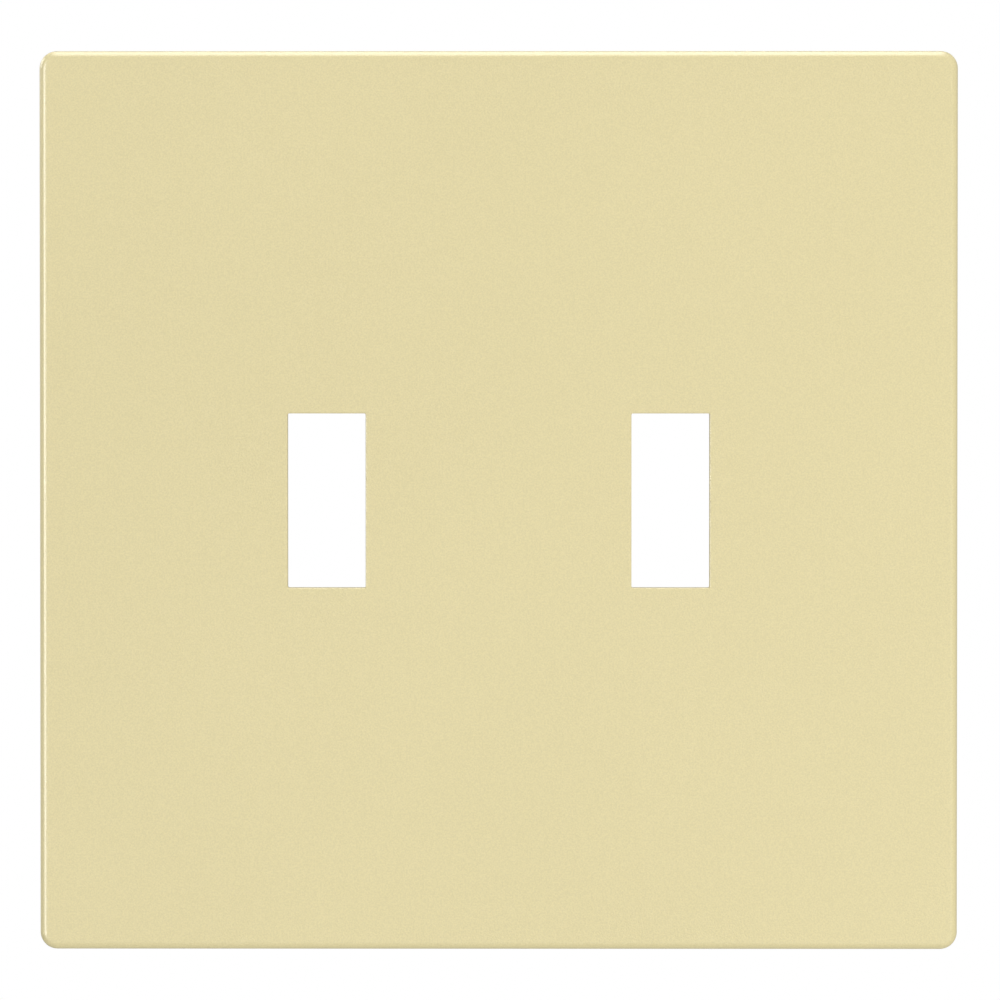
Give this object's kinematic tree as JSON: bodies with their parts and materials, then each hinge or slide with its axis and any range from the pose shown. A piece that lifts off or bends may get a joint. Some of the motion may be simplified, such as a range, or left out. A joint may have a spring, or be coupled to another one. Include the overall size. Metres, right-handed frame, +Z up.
{
  "type": "two-gang toggle wall plate",
  "caption": "Screwless two-gang wall plate with toggle openings: a clip-on cover over a mounting plate that screws to the two switches in the wall box.",
  "frame": {"origin": "centre of the plate, on the wall plane that the back of the mounting plate rests on", "axes": "+Y into the wall, +X to the right seen from the front, +Z up; the visible face looks along -Y"},
  "size_m": [0.123, 0.022, 0.1204],
  "materials": {
    "ivory_cover": "ivory polycarbonate, finely textured matte face and slightly smoother sides",
    "mounting_plate": "pale grey moulded polycarbonate, satin",
    "screw_steel": "bright zinc-plated steel, satin"
  },
  "bodies": {
    "mounting_plate": {"mounting_plate": "mounting_plate"},
    "cover_plate": {"cover_plate": "ivory_cover"},
    "plate_screw_upper_left": {"plate_screw_upper_left": "screw_steel"},
    "plate_screw_upper_right": {"plate_screw_upper_right": "screw_steel"},
    "plate_screw_lower_left": {"plate_screw_lower_left": "screw_steel"},
    "plate_screw_lower_right": {"plate_screw_lower_right": "screw_steel"}
  },
  "joints": [
    {"name": "cover_snap_off", "type": "slide", "parent": "mounting_plate", "child": "cover_plate", "axis": [0, -1, 0], "range_m": [0, 0.025]},
    {"name": "screw_upper_left_turn", "type": "hinge", "parent": "mounting_plate", "child": "plate_screw_upper_left", "pos_m": [-0.02302, 0, 0.03017], "axis": [0, 1, 0], "continuous": true},
    {"name": "screw_upper_right_turn", "type": "hinge", "parent": "mounting_plate", "child": "plate_screw_upper_right", "pos_m": [0.02302, 0, 0.03017], "axis": [0, 1, 0], "continuous": true},
    {"name": "screw_lower_left_turn", "type": "hinge", "parent": "mounting_plate", "child": "plate_screw_lower_left", "pos_m": [-0.02302, 0, -0.03017], "axis": [0, 1, 0], "continuous": true},
    {"name": "screw_lower_right_turn", "type": "hinge", "parent": "mounting_plate", "child": "plate_screw_lower_right", "pos_m": [0.02302, 0, -0.03017], "axis": [0, 1, 0], "continuous": true}
  ]
}
